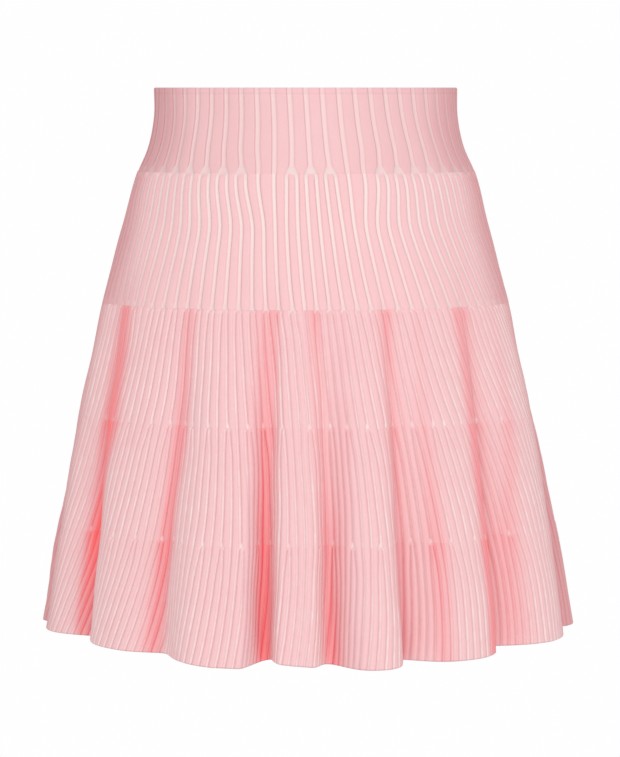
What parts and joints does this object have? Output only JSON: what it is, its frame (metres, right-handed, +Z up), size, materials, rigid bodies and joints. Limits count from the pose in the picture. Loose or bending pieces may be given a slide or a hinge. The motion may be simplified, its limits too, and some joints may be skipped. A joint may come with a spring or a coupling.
{
  "type": "ribbed knit miniskirt, worn on the waist",
  "caption": "Short flared skirt of ribbed knit in stepped tiers, hollow and open at the waist and the hem, with soft folds that deepen to the hem.",
  "frame": {"origin": "middle of the waist opening, level with the top edge of the waistband, where the wearer's waist carries the skirt", "axes": "+Z up, the front faces -Y, +X is to the right of someone who looks at the front"},
  "size_m": [0.4245, 0.3224, 0.4267],
  "materials": {
    "waistband_knit": "matte double knit, wide flat pink ribs with narrow off-white grooves",
    "yoke_knit": "matte knit, pink ribs with open white grooves",
    "tier_knit": "matte knit, fine pink ribs over a white ground, coral in the folds"
  },
  "bodies": {
    "root": {"waistband_front": "waistband_knit", "waistband_back": "waistband_knit", "yoke_front": "yoke_knit", "yoke_back": "yoke_knit", "first_tier_front": "tier_knit", "first_tier_back": "tier_knit", "second_tier_front": "tier_knit", "second_tier_back": "tier_knit", "hem_tier_front": "tier_knit", "hem_tier_back": "tier_knit"}
  },
  "joints": []
}
